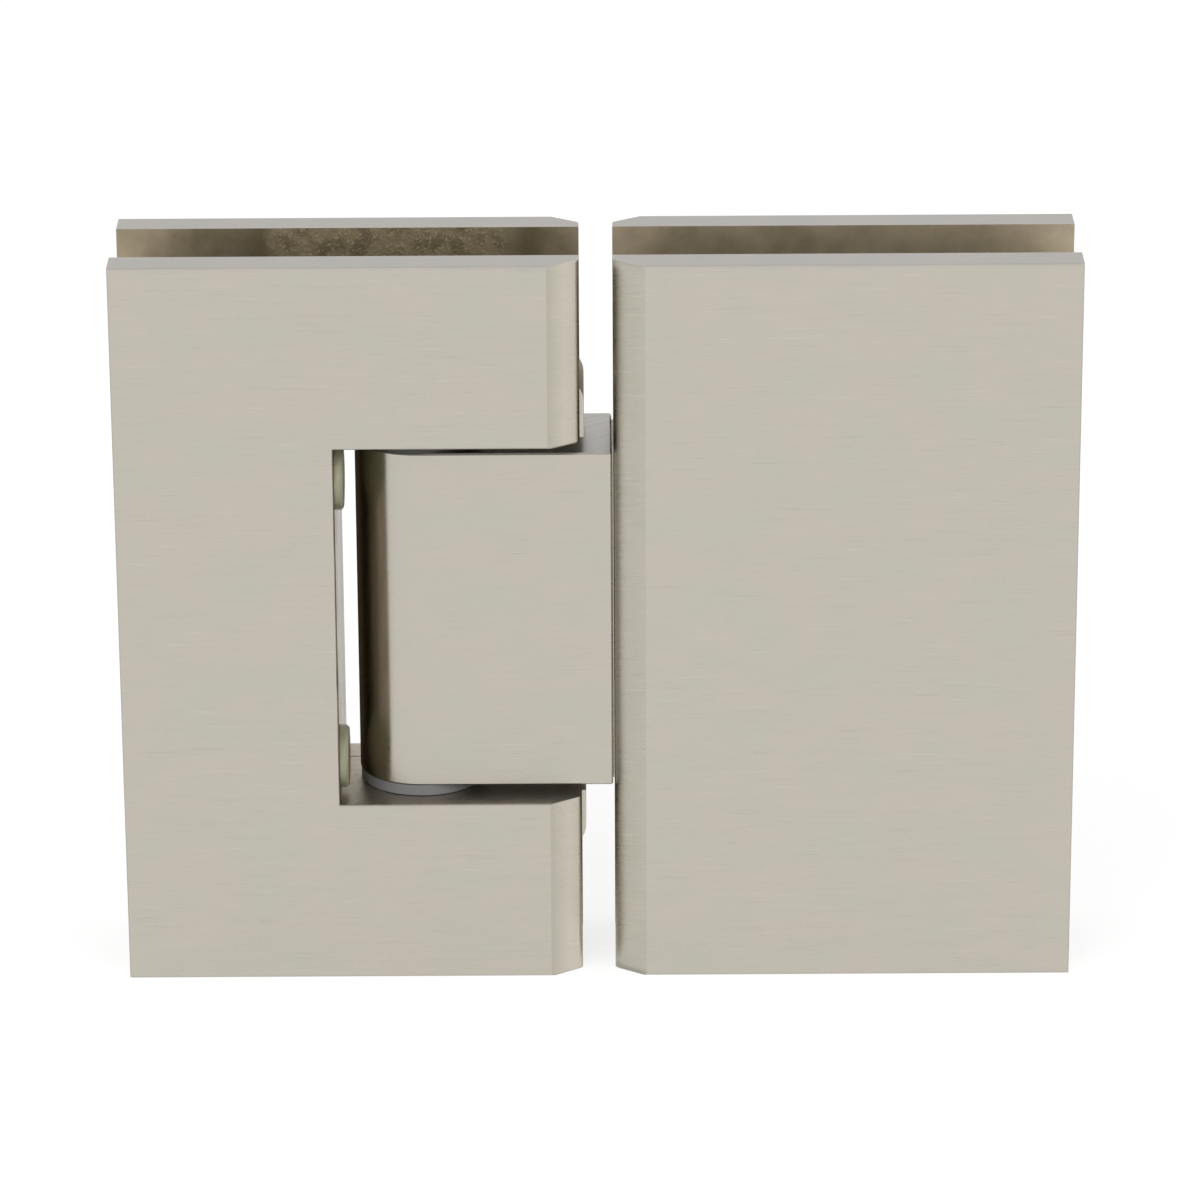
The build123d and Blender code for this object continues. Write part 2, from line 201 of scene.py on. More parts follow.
def soft_box(name, place, watts):
    """A square soft box that faces the middle of the hinge."""
    lamp = bpy.data.lights.new(name, "AREA")
    lamp.energy = watts
    lamp.size = SOFT_BOX_SIDE_M
    box = bpy.data.objects.new(name, lamp)
    box.location = place
    box.rotation_mode = "QUATERNION"
    box.rotation_quaternion = (AIM_POINT - box.location).to_track_quat("-Z", "Y")
    box.visible_glossy = False
    bpy.context.scene.collection.objects.link(box)
    return box


key = soft_box("key_soft_box", KEY_PLACE_M, KEY_WATTS)
fill = soft_box("fill_soft_box", FILL_PLACE_M, FILL_WATTS)
print("Made", key.name, "and", fill.name)

# %% [markdown]
# Patterns on a piece
#
# Brushing, filing and casting leave marks of a certain size. Each kind is a noise texture here, worked
# out from the place on the piece, so nothing has to be unwrapped and the marks move with the piece. The
# place is turned and then stretched, so that the spots come out as long and as wide as the marks. A second
# helper keeps the strongest spots, because a brushed face has a few deep scratches among many faint ones.

# %% Patterns
NOISE_GRIT = 0.6
NOISE_LOW = 0.25
NOISE_HIGH = 0.75
STRAY_POWER = 3.0


def pattern(tree, size_mm, detail=3.0, turn=(0, 0, 0), distortion=0.0):
    """A noise pattern whose spots are size_mm long in X, Y and Z, on the piece itself."""
    place = add_node(tree, "ShaderNodeTexCoord")
    turned = add_node(tree, "ShaderNodeMapping", values={
        "Rotation": turn}, links={"Vector": place.outputs["Object"]})
    sized = add_node(tree, "ShaderNodeMapping", values={
        "Scale": [1 / (MM * s) for s in size_mm]}, links={"Vector": turned.outputs[0]})
    noise = add_node(tree, "ShaderNodeTexNoise", values={
        "Scale": 1.0, "Detail": detail, "Roughness": NOISE_GRIT, "Distortion": distortion}, links={
        "Vector": sized.outputs[0]})
    return noise.outputs["Fac"]


def stray(tree, marks):
    """Output from -1 to 1 that leaves only the strongest light and dark marks of a pattern."""
    spread = add_node(tree, "ShaderNodeMapRange", values={
        "From Min": NOISE_LOW, "From Max": NOISE_HIGH, "To Min": -1.0, "To Max": 1.0}, links={
        "Value": marks})
    sparse = add_node(tree, "ShaderNodeMath", {"operation": "POWER"}, {1: STRAY_POWER}, {
        0: spread.outputs[0]})
    return sparse.outputs[0]


print("Pattern helpers ready, full strength at", NOISE_LOW, "and", NOISE_HIGH)

# %% [markdown]
# Edge wear and highlight, and slow changes
#
# Where two faces meet, an edge is painted a little lighter than its faces: partly wear, as polishing thins
# the scratches there, and partly a painted highlight, for the light that a rounded edge catches. The Bevel
# node gives the direction that a rounded edge would have, and where it differs from the face's own
# direction there is an edge, with no need to draw one. A second helper changes a value slowly along the
# hinge's width, for a painted shade or a roughness that isn't the same all over.

# %% Edge wear and highlight, and slow changes
WEAR_AND_HIGHLIGHT_EDGE_MM = 0.25
LIKENESS_ON_FACE = 0.995
LIKENESS_ON_EDGE = 0.90


def wear_and_highlight_edges(tree):
    """Output that is 1 on the edges between faces and 0 on the faces themselves."""
    facing = add_node(tree, "ShaderNodeNewGeometry")
    rounded = add_node(tree, "ShaderNodeBevel", {"samples": 6}, {"Radius": WEAR_AND_HIGHLIGHT_EDGE_MM * MM})
    likeness = add_node(tree, "ShaderNodeVectorMath", {"operation": "DOT_PRODUCT"}, links={
        0: facing.outputs["True Normal"], 1: rounded.outputs[0]})
    return add_node(tree, "ShaderNodeMapRange", values={
        "From Min": LIKENESS_ON_FACE, "From Max": LIKENESS_ON_EDGE}, links={
        "Value": likeness.outputs["Value"]}).outputs[0]


def along_width(tree, start_mm, end_mm, start_value, end_value):
    """Output that goes from one value to another between two places along the hinge's width."""
    place = add_node(tree, "ShaderNodeTexCoord")
    across = add_node(tree, "ShaderNodeSeparateXYZ", links={0: place.outputs["Object"]})
    return add_node(tree, "ShaderNodeMapRange", values={
        "From Min": start_mm * MM, "From Max": end_mm * MM,
        "To Min": start_value, "To Max": end_value}, links={"Value": across.outputs["X"]}).outputs[0]


print("Worn edges are", WEAR_AND_HIGHLIGHT_EDGE_MM, "mm wide")

# %% [markdown]
# Satin nickel
#
# The plates and the pivot block are solid brass, brushed on a belt and then nickel plated. Nickel is a
# warm grey metal. Brushing leaves fine scratches, all along the hinge's width: along them the metal is
# nearly a mirror, across them a reflection smears, and that is what an anisotropic shader does. A picture
# of brushed metal could be wrapped round the plates instead, but noise has no seams. The real scratches
# are a few hundredths of a millimetre wide, too fine for the picture, so here they are as coarse as they
# need to be to show.

# %% Tone of satin nickel
CLOUD_SIZE_MM = (9.0, 9.0, 5.0)
CLOUD_LOW = 0.35
CLOUD_HIGH = 0.65
# Edges are painted this light tone: partly wear, partly a painted highlight.
WEAR_AND_HIGHLIGHT_TONE = "E6E2D8"


def satin_tone(tree, warm, cool, lines, contrast, wear_and_highlight):
    """Two close greys in soft clouds, crossed by the scratches, and lighter on edges, partly as wear and
    partly as a painted highlight.
    """
    clouds = pattern(tree, CLOUD_SIZE_MM)
    cloud_share = add_node(tree, "ShaderNodeMapRange", values={
        "From Min": CLOUD_LOW, "From Max": CLOUD_HIGH}, links={"Value": clouds})
    tone = add_node(tree, "ShaderNodeMix", COLOUR_MIX, {
        FIRST: linear(warm), SECOND: linear(cool)}, {SHARE: cloud_share.outputs[0]})
    line_tone = add_node(tree, "ShaderNodeMath", {"operation": "MULTIPLY_ADD"}, {
        1: contrast, 2: 1.0}, {0: lines})
    lined = add_node(tree, "ShaderNodeMix", COLOUR_PRODUCT, {SHARE: 1.0}, {
        FIRST: tone.outputs[MIXED], SECOND: line_tone.outputs[0]})
    edge_share = add_node(tree, "ShaderNodeMath", {"operation": "MULTIPLY"}, {1: wear_and_highlight}, {
        0: wear_and_highlight_edges(tree)})
    return add_node(tree, "ShaderNodeMix", COLOUR_MIX, {SECOND: linear(WEAR_AND_HIGHLIGHT_TONE)}, {
        SHARE: edge_share.outputs[0], FIRST: lined.outputs[MIXED]}).outputs[MIXED]


print("Clouds of grey are", CLOUD_SIZE_MM, "mm in X, Y and Z")

# %% Satin nickel
LINE_WIDTH_MM = 0.22
LINE_DEPTH_MM = 0.002
LINE_CONTRAST = 0.1
LINE_DULLNESS = 0.05
# How far edges take that light tone, partly for wear and partly as a painted highlight.
WEAR_AND_HIGHLIGHT_SHARE = 0.3
SATIN_ROUGHNESS = 0.28
SMEAR_STRENGTH = 0.9
SOFT_EDGE_MM = 0.1


def satin_nickel(name, warm, cool, line_size_mm, smear, turn=(0, 0, 0), contrast=LINE_CONTRAST,
                 grazing=WHITE, soft_edge_mm=SOFT_EDGE_MM, line_depth_mm=LINE_DEPTH_MM, wear_and_highlight=WEAR_AND_HIGHLIGHT_SHARE,
                 painted_shade=None, dull=None):
    """Brushed, nickel plated brass: a soft warm grey sheen under fine straight scratches.

    smear is the axis that the reflection's smear is worked out from, and its turn as a share of a circle.
    grazing is the tint where the metal is seen edge-on.
    soft_edge_mm is how far the edges are shaded as round, and the edge share how much lighter they are
    painted, partly for wear and partly as a painted highlight.
    The two ramps along the width, given last, are a painted shade that multiplies the colour and a
    dullness that sets the roughness.
    """
    material, tree, surface = new_material(name)
    lines = stray(tree, pattern(tree, line_size_mm, detail=2.0, turn=turn))
    colour = satin_tone(tree, warm, cool, lines, contrast, wear_and_highlight)
    # A painted shade: the colour is darkened along the width.
    if painted_shade:
        colour = add_node(tree, "ShaderNodeMix", COLOUR_PRODUCT, {SHARE: 1.0}, {
            FIRST: colour, SECOND: along_width(tree, *painted_shade)}).outputs[MIXED]
    dullness = add_node(tree, "ShaderNodeMath", {"operation": "MULTIPLY_ADD"}, {
        1: LINE_DULLNESS, 2: SATIN_ROUGHNESS}, {0: lines})
    if dull:
        tree.links.new(along_width(tree, *dull), dullness.inputs[2])
    soft_edge = add_node(tree, "ShaderNodeBevel", {"samples": 8}, {"Radius": soft_edge_mm * MM})
    relief = add_node(tree, "ShaderNodeBump", values={"Distance": line_depth_mm * MM}, links={
        "Height": lines, "Normal": soft_edge.outputs[0]})
    smear_axis, smear_turn = smear
    along = add_node(tree, "ShaderNodeTangent", {"direction_type": "RADIAL", "axis": smear_axis})
    metal = add_node(tree, "ShaderNodeBsdfPrincipled", values={
        "Metallic": 1.0, "Anisotropic": SMEAR_STRENGTH, "Anisotropic Rotation": smear_turn,
        "Specular Tint": linear(grazing)}, links={
        "Base Color": colour, "Roughness": dullness.outputs[0],
        "Normal": relief.outputs[0], "Tangent": along.outputs[0]})
    tree.links.new(metal.outputs[0], surface)
    return material


print("Scratches are", LINE_WIDTH_MM, "mm wide and", LINE_DEPTH_MM, "mm deep")

# %% [markdown]
# Brushed faces, barrel and level edges
#
# The same belt leaves a different look on each surface. The fronts take it squarely. The barrel is round
# and the belt only brushes past it, so its scratches are shallower and its side is duller. Seen edge-on it
# mirrors the dark of the notch, and a dark brown tint at grazing angles adds a painted dark reflection to
# that. The level edges were brushed along their length. Each surface is a material of its own, because one
# shader for all of them would need a test for every place.

# %% Brushed faces, barrel and level edges
LINE_LENGTH_MM = 7.0
FACE_LINES_MM = (LINE_LENGTH_MM, LINE_LENGTH_MM, LINE_WIDTH_MM)
LEVEL_LINES_MM = (LINE_LENGTH_MM, LINE_WIDTH_MM, LINE_LENGTH_MM)
UPRIGHT_SMEAR = ("Z", 0.25)
LEVEL_SMEAR = ("X", 0.0)
FINE_CONTRAST = 0.05
BARREL_LINE_DEPTH_MM = 0.0004
BARREL_ROUGHNESS = 0.40
DULL_STRIP_MM = 3.9
DULL_GRAZING = "A49B8E"
# A dark brown tint for the barrel seen edge-on: a painted dark reflection.
PAINTED_DARK_REFLECTION_TINT = "4A3F2E"
barrel_side_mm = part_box("pivot_block")[0].x / MM

# The fronts give a quiet warm grey with level lines that show only close by.
nickel_face = satin_nickel(
    "satin_nickel_face", "C2BAB0", "BEBBAF", FACE_LINES_MM, UPRIGHT_SMEAR, grazing=DULL_GRAZING)
# The barrel gives the same grey, which sinks into a dark brown strip along its side: partly its reflection
# of the notch, partly a painted dark reflection from its grazing tint.
nickel_barrel = satin_nickel(
    "satin_nickel_barrel", "C2BAB0", "BEBBAF", FACE_LINES_MM, UPRIGHT_SMEAR, contrast=FINE_CONTRAST,
    grazing=PAINTED_DARK_REFLECTION_TINT, line_depth_mm=BARREL_LINE_DEPTH_MM,
    dull=(barrel_side_mm, barrel_side_mm + DULL_STRIP_MM, BARREL_ROUGHNESS, SATIN_ROUGHNESS))
# The level edges give a cooler, plainer grey.
nickel_edge = satin_nickel(
    "satin_nickel_edge", "B5B1AC", "B1AEA9", LEVEL_LINES_MM, LEVEL_SMEAR, contrast=FINE_CONTRAST)
print("Made", nickel_face.name, nickel_barrel.name, nickel_edge.name)
print("The barrel's side is at", round(barrel_side_mm, 2), "mm")

# %% [markdown]
# Brushed bevels
#
# The bevels along the hinge line look brushed one by one and a little askew: their scratches are shorter,
# stronger and at a slant. On the door leaf the bevel's colour is painted a little darker beside the face,
# as a painted shadow line. On the fixed leaf it is shaded as a wide round, so that it mirrors the other
# leaf and darkens towards the hinge line. Such a round cut into the solid would change its outline, so the
# Bevel node does it in the shading alone.

# %% Brushed bevels
BEVEL_WIDTH_MM = 3.8
BEVEL_LINE_LENGTH_MM = 5.0
BEVEL_LINES_MM = (BEVEL_LINE_LENGTH_MM, BEVEL_LINE_LENGTH_MM, LINE_WIDTH_MM)
DOOR_BEVEL_TURN = (0, math.radians(-5), 0)
DOOR_BEVEL_CONTRAST = 0.14
DOOR_BEVEL_SOFT_EDGE_MM = 0.4
# Beside the face the door bevel's colour is darkened to this tone over this strip: a painted shadow line.
PAINTED_SHADE_STRIP_MM = 2.2
PAINTED_SHADE_TONE = 0.82
CLEAR_TONE = 1.03
FIXED_BEVEL_TURN = (0, math.radians(13), 0)
FIXED_BEVEL_CONTRAST = 0.2
FIXED_BEVEL_SOFT_EDGE_MM = 2.8
half_leaf_gap_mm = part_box("fixed_front_plate")[0].x / MM
door_bevel_start_mm = -(half_leaf_gap_mm + BEVEL_WIDTH_MM)

# The door bevel gives a lighter strip than the front, with a faint painted shadow line beside it.
nickel_door_bevel = satin_nickel(
    "satin_nickel_door_bevel", "C9C2B5", "C5C0B2", BEVEL_LINES_MM, UPRIGHT_SMEAR, DOOR_BEVEL_TURN,
    DOOR_BEVEL_CONTRAST, soft_edge_mm=DOOR_BEVEL_SOFT_EDGE_MM, wear_and_highlight=0.0,
    painted_shade=(door_bevel_start_mm, door_bevel_start_mm + PAINTED_SHADE_STRIP_MM, PAINTED_SHADE_TONE, CLEAR_TONE))
# The fixed bevel gives a darker strip with slanting streaks, darkest at the hinge line.
nickel_fixed_bevel = satin_nickel(
    "satin_nickel_fixed_bevel", "BCB6AA", "B7B4A7", BEVEL_LINES_MM, UPRIGHT_SMEAR, FIXED_BEVEL_TURN,
    FIXED_BEVEL_CONTRAST, soft_edge_mm=FIXED_BEVEL_SOFT_EDGE_MM)
print("Made", nickel_door_bevel.name, nickel_fixed_bevel.name)
print("The door's bevel starts at", round(door_bevel_start_mm, 2), "mm")

# %% [markdown]
# Nickel that the belt doesn't reach
#
# The belt can't get into the notch. Its upper and lower walls and the ends of the rims keep the plain
# plating, over the slight waves and the grain that the casting had. The back wall of the notch looks
# filed, so it is smoother and has long marks. Both are one recipe: waves, marks on top of them, and a
# metal whose colour and dullness follow the marks. A bump is enough, because the marks are far too
# shallow to show in the outline.

# %% Bright and filed nickel
WAVE_WIDTH_MM = 3.0
WAVE_DEPTH_MM = 0.035
GRAIN_MM = (0.6, 0.6, 0.6)
FILE_MARK_MM = (5.0, 0.35, 7.0)
MARK_DISTORTION = 0.6
MARK_HEIGHT = 0.25
MARK_START = 0.5
MARK_FULL = 0.72
SMOOTH_MARK = 0.3
ROUGH_MARK = 0.7
FILED_GRAZING = "D0CCC4"


def unbrushed_nickel(name, plain, marked, mark_size_mm, grazing, smoothest, roughest):
    """Plating over a cast wall that wasn't brushed: a little wavy, with grains or file marks."""
    material, tree, surface = new_material(name)
    waves = pattern(tree, (WAVE_WIDTH_MM,) * 3)
    marks = pattern(tree, mark_size_mm, detail=5.0, distortion=MARK_DISTORTION)
    height = add_node(tree, "ShaderNodeMath", {"operation": "MULTIPLY_ADD"}, {1: MARK_HEIGHT}, {
        0: marks, 2: waves})
    relief = add_node(tree, "ShaderNodeBump", values={"Distance": WAVE_DEPTH_MM * MM}, links={
        "Height": height.outputs[0]})
    mark_share = add_node(tree, "ShaderNodeMapRange", values={
        "From Min": MARK_START, "From Max": MARK_FULL}, links={"Value": marks})
    colour = add_node(tree, "ShaderNodeMix", COLOUR_MIX, {
        FIRST: linear(plain), SECOND: linear(marked)}, {SHARE: mark_share.outputs[0]})
    dullness = add_node(tree, "ShaderNodeMapRange", values={
        "From Min": SMOOTH_MARK, "From Max": ROUGH_MARK, "To Min": smoothest, "To Max": roughest}, links={
        "Value": marks})
    metal = add_node(tree, "ShaderNodeBsdfPrincipled", values={
        "Metallic": 1.0, "Specular Tint": linear(grazing)}, links={
        "Base Color": colour.outputs[MIXED], "Roughness": dullness.outputs[0],
        "Normal": relief.outputs[0]})
    tree.links.new(metal.outputs[0], surface)
    return material


# Plain plating gives an even, silky light grey with a fine grain.
nickel_bright = unbrushed_nickel(
    "bright_nickel", "CAC4BA", "BEB8AE", GRAIN_MM, DULL_GRAZING, smoothest=0.36, roughest=0.5)
# Filed plating gives a wavy mirror with dark streaks.
nickel_filed = unbrushed_nickel(
    "filed_nickel", "988E7E", "544B3E", FILE_MARK_MM, FILED_GRAZING, smoothest=0.12, roughest=0.3)
print("Made", nickel_bright.name, "and", nickel_filed.name)

# %% [markdown]
# The cast inside
#
# The faces that press on the glass, and the rims inside its cut-out, are never seen in use: they are left
# as cast, brownish and a little pitted. In the middle of the door leaf, over the pin, the skin is
# roughest, perhaps because the metal was thickest there and froze last. The pits could be modelled, but
# they are under a tenth of a millimetre deep, so a bump is enough. Noise makes the border of the rough
# stretch ragged.

# %% Tones of the cast inside
BLOTCH_WIDTH_MM = 1.8
BLOTCH_DARKEST = 0.38
BLOTCH_LIGHTEST = 0.56
SPECK_START = 0.56
SPECK_FULL = 0.66
SMOOTH_DARKEST = 0.45
SMOOTH_LIGHTEST = 1.25
OUTER_LIGHTNESS = 0.35
ROUGH_HALF_WIDTH_MM = 14.0


def smooth_cast_tone(tree, clouds, distance):
    """The skin of a good casting: brown in clouds, and lighter far from the rough stretch."""
    reach = add_node(tree, "ShaderNodeMapRange", values={
        "From Min": ROUGH_HALF_WIDTH_MM * MM, "From Max": 2 * ROUGH_HALF_WIDTH_MM * MM,
        "To Max": OUTER_LIGHTNESS}, links={"Value": distance})
    lightness = add_node(tree, "ShaderNodeMath", {"operation": "ADD"}, links={
        0: clouds, 1: reach.outputs[0]})
    share = add_node(tree, "ShaderNodeMapRange", values={
        "From Min": SMOOTH_DARKEST, "From Max": SMOOTH_LIGHTEST}, links={"Value": lightness.outputs[0]})
    return add_node(tree, "ShaderNodeMix", COLOUR_MIX, {
        FIRST: linear("8A7E66"), SECOND: linear("E4D6BE")}, {SHARE: share.outputs[0]}).outputs[MIXED]


def rough_cast_tone(tree, pits):
    """The skin of the rough stretch: dark and light blotches with bright specks."""
    blotches = pattern(tree, (BLOTCH_WIDTH_MM,) * 3, detail=4.0)
    blotch_share = add_node(tree, "ShaderNodeMapRange", values={
        "From Min": BLOTCH_DARKEST, "From Max": BLOTCH_LIGHTEST}, links={"Value": blotches})
    blotch_tone = add_node(tree, "ShaderNodeMix", COLOUR_MIX, {
        FIRST: linear("958970"), SECOND: linear("B4A68A")}, {SHARE: blotch_share.outputs[0]})
    speck_share = add_node(tree, "ShaderNodeMapRange", values={
        "From Min": SPECK_START, "From Max": SPECK_FULL}, links={"Value": pits})
    return add_node(tree, "ShaderNodeMix", COLOUR_MIX, {SECOND: linear("D0C4AA")}, {
        SHARE: speck_share.outputs[0], FIRST: blotch_tone.outputs[MIXED]}).outputs[MIXED]


print("Blotches of the cast skin are", BLOTCH_WIDTH_MM, "mm wide")

# %% Cast inside
PIT_WIDTH_MM = 0.35
PIT_DEPTH_MM = 0.08
CAST_CLOUD_MM = 7.0
ROUGH_MIDDLE_X_MM = -24.0
RAGGED_MM = 8.0
FADE_MM = 1.0
LEAST_ROUGH = 0.08
CAST_ROUGHNESS = 0.5


def away_from_middle(tree):
    """Distance along the hinge's width from the middle of the rough stretch."""
    place = add_node(tree, "ShaderNodeTexCoord")
    across = add_node(tree, "ShaderNodeSeparateXYZ", links={0: place.outputs["Object"]})
    away = add_node(tree, "ShaderNodeMath", {"operation": "SUBTRACT"}, {1: ROUGH_MIDDLE_X_MM * MM}, {
        0: across.outputs["X"]})
    return add_node(tree, "ShaderNodeMath", {"operation": "ABSOLUTE"}, links={
        0: away.outputs[0]}).outputs[0]


def cast_inside():
    """Raw casting under a thin plating: brownish and matt, pitted most in the middle of the door leaf."""
    material, tree, surface = new_material("cast_brass_inside")
    pits = pattern(tree, (PIT_WIDTH_MM,) * 3, detail=6.0)
    clouds = pattern(tree, (CAST_CLOUD_MM,) * 3, detail=4.0)
    distance = away_from_middle(tree)
    ragged = add_node(tree, "ShaderNodeMath", {"operation": "MULTIPLY_ADD"}, {1: RAGGED_MM * MM}, {
        0: clouds, 2: distance})
    border_mm = ROUGH_HALF_WIDTH_MM + RAGGED_MM / 2
    rough_share = add_node(tree, "ShaderNodeMapRange", values={
        "From Min": (border_mm + FADE_MM) * MM, "From Max": (border_mm - FADE_MM) * MM,
        "To Min": LEAST_ROUGH, "To Max": 1.0}, links={"Value": ragged.outputs[0]})
    tone = add_node(tree, "ShaderNodeMix", COLOUR_MIX, links={
        SHARE: rough_share.outputs[0], FIRST: smooth_cast_tone(tree, clouds, distance),
        SECOND: rough_cast_tone(tree, pits)})
    relief = add_node(tree, "ShaderNodeBump", values={"Distance": PIT_DEPTH_MM * MM}, links={
        "Height": pits, "Strength": rough_share.outputs[0]})
    metal = add_node(tree, "ShaderNodeBsdfPrincipled", values={
        "Metallic": 1.0, "Roughness": CAST_ROUGHNESS}, links={
        "Base Color": tone.outputs[MIXED], "Normal": relief.outputs[0]})
    tree.links.new(metal.outputs[0], surface)
    return material


# Cast brass gives a dull brown with lighter ends and a dark, crusty middle.
brass_cast = cast_inside()
print("Made", brass_cast.name, "with a rough stretch", 2 * ROUGH_HALF_WIDTH_MM, "mm wide")

# %% [markdown]
# Milled nickel
#
# The ends of the tongue run on the washers, so they were faced on a mill after casting. The cutter leaves
# wide arcs, all round a point far to the side. Rings could be drawn as curves, but a one-dimensional
# noise of the distance from that point gives arcs that are as uneven as real ones.

# %% Milled nickel
ARC_CENTRE_MM = (22.0, -26.0, 45.0)
ARC_SPACING_MM = 0.8
ARC_DEPTH_MM = 0.02
MILLED_ROUGHNESS = 0.34


def milled_nickel():
    """Faced and plated metal with the mill's arcs."""
    material, tree, surface = new_material("milled_nickel")
    place = add_node(tree, "ShaderNodeTexCoord")
    reach = add_node(tree, "ShaderNodeVectorMath", {"operation": "DISTANCE"}, {
        1: [c * MM for c in ARC_CENTRE_MM]}, {0: place.outputs["Object"]})
    arcs = add_node(tree, "ShaderNodeTexNoise", {"noise_dimensions": "1D"}, {
        "Scale": 1 / (ARC_SPACING_MM * MM), "Detail": 4.0}, {"W": reach.outputs["Value"]})
    tone = add_node(tree, "ShaderNodeMix", COLOUR_MIX, {
        FIRST: linear("9C9995"), SECOND: linear("B2AFAB")}, {SHARE: arcs.outputs["Fac"]})
    relief = add_node(tree, "ShaderNodeBump", values={"Distance": ARC_DEPTH_MM * MM}, links={
        "Height": arcs.outputs["Fac"]})
    metal = add_node(tree, "ShaderNodeBsdfPrincipled", values={
        "Metallic": 1.0, "Roughness": MILLED_ROUGHNESS}, links={
        "Base Color": tone.outputs[MIXED], "Normal": relief.outputs[0]})
    tree.links.new(metal.outputs[0], surface)
    return material


# Milled nickel gives a cool grey with faint arcs across it.
nickel_milled = milled_nickel()
print("Made", nickel_milled.name, "with arcs", ARC_SPACING_MM, "mm apart")

# %% [markdown]
# Turned metal
#
# The pin and the grub screw are turned stainless steel, and the plunger is turned brass: the tool leaves
# fine rings round their own axis. Modelled grooves would be thousands of faces, so the rings are a
# noise pattern that is very short along the axis and long across it.

# %% Turned metal
RING_WIDTH_MM = 0.15
PIN_RINGS_MM = (20.0, 20.0, RING_WIDTH_MM)
LEVEL_RINGS_MM = (RING_WIDTH_MM, 8.0, 8.0)
RING_DEPTH_MM = 0.006
RING_DULLNESS = 0.08


def turned_metal(name, tone, ring_size_mm, roughness):
    """Turned metal: fine rings round the axis, as a pattern that is narrow along it."""
    material, tree, surface = new_material(name)
    rings = pattern(tree, ring_size_mm, detail=2.0)
    dullness = add_node(tree, "ShaderNodeMapRange", values={
        "To Min": roughness - RING_DULLNESS, "To Max": roughness + RING_DULLNESS}, links={"Value": rings})
    relief = add_node(tree, "ShaderNodeBump", values={"Distance": RING_DEPTH_MM * MM}, links={
        "Height": rings})
    metal = add_node(tree, "ShaderNodeBsdfPrincipled", values={
        "Metallic": 1.0, "Base Color": linear(tone)}, links={
        "Roughness": dullness.outputs[0], "Normal": relief.outputs[0]})
    tree.links.new(metal.outputs[0], surface)
    return material


# Turned steel gives a cool gloss that breaks up into rings, and turned brass a yellow one.
steel_upright = turned_metal("turned_stainless_steel", "BDBBB6", PIN_RINGS_MM, roughness=0.28)
steel_level = turned_metal("stainless_steel_grub", "B5B3AE", LEVEL_RINGS_MM, roughness=0.3)
brass_turned = turned_metal("turned_brass", "C8A860", LEVEL_RINGS_MM, roughness=0.26)
print("Made", steel_upright.name, steel_level.name, brass_turned.name)

# %% [markdown]
# Screw heads
#
# Such clamp screws are faced on a lathe, which leaves rings round the middle of each head. One material
# serves all four screws: the place on the hinge is folded along the two planes of its symmetry, so that
# the screws fall on each other, and the rings follow the distance from that one place.

# %% Screw heads
HEAD_RING_SPACING_MM = 0.35
HEAD_RING_DEPTH_MM = 0.02
HEAD_ROUGHNESS = 0.28
WITHOUT_DEPTH = (1, 0, 1)


def faced_screw_head():
    """Turned screw heads: fine rings round each of the four screws, which stand alike on both leaves."""
    material, tree, surface = new_material("stainless_steel_screw")
    low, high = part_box("door_clamp_screws")
    middle_height = (low.z + high.z) / 2
    head_radius = (high.x - low.x) / 2
    folded_screw = (abs(low.x + high.x) / 2, 0, (high.z - low.z) / 2 - head_radius)
    place = add_node(tree, "ShaderNodeTexCoord")
    from_middle = add_node(tree, "ShaderNodeVectorMath", {"operation": "SUBTRACT"}, {
        1: (0, 0, middle_height)}, {0: place.outputs["Object"]})
    folded = add_node(tree, "ShaderNodeVectorMath", {"operation": "ABSOLUTE"}, links={
        0: from_middle.outputs[0]})
    flat = add_node(tree, "ShaderNodeVectorMath", {"operation": "MULTIPLY"}, {1: WITHOUT_DEPTH}, {
        0: folded.outputs[0]})
    reach = add_node(tree, "ShaderNodeVectorMath", {"operation": "DISTANCE"}, {1: folded_screw}, {
        0: flat.outputs[0]})
    rings = add_node(tree, "ShaderNodeTexNoise", {"noise_dimensions": "1D"}, {
        "Scale": 1 / (HEAD_RING_SPACING_MM * MM), "Detail": 3.0}, {"W": reach.outputs["Value"]})
    tone = add_node(tree, "ShaderNodeMix", COLOUR_MIX, {
        FIRST: linear("A3A19C"), SECOND: linear("C6C4BF")}, {SHARE: rings.outputs["Fac"]})
    relief = add_node(tree, "ShaderNodeBump", values={"Distance": HEAD_RING_DEPTH_MM * MM}, links={
        "Height": rings.outputs["Fac"]})
    metal = add_node(tree, "ShaderNodeBsdfPrincipled", values={
        "Metallic": 1.0, "Roughness": HEAD_ROUGHNESS}, links={
        "Base Color": tone.outputs[MIXED], "Normal": relief.outputs[0]})
    tree.links.new(metal.outputs[0], surface)
    return material


# Faced steel gives a bright disc with darker and lighter rings.
steel_screws = faced_screw_head()
print("Made", steel_screws.name, "with rings", HEAD_RING_SPACING_MM, "mm apart")

# %% [markdown]
# Vinyl, nylon, acetal and polyurethane
#
# The gaskets are milky soft vinyl, the washers grey nylon, the bushes white acetal, and the buffers and
# the detent's spring cast polyurethane, which is yellowish and lets some light in. Subsurface scattering
# is one way to let light in, but for pieces this thin a share of transmission is enough. Two close tones
# in soft clouds and a faint bump stand for the moulded skin. The upper washer shows only as a dark line,
# so its nylon is painted dark grey as painted shade, and the buffers' ends that face the barrel are
# painted dark as the shade of the narrow gap, so these have tones of their own.

# %% Vinyl, nylon, acetal and polyurethane
SKIN_DEPTH_MM = 0.01
GASKET_CLOUD_MM = 5.0
SMALL_CLOUD_MM = 2.0
VINYL_IOR = 1.53
NYLON_IOR = 1.53
ACETAL_IOR = 1.48
URETHANE_IOR = 1.5


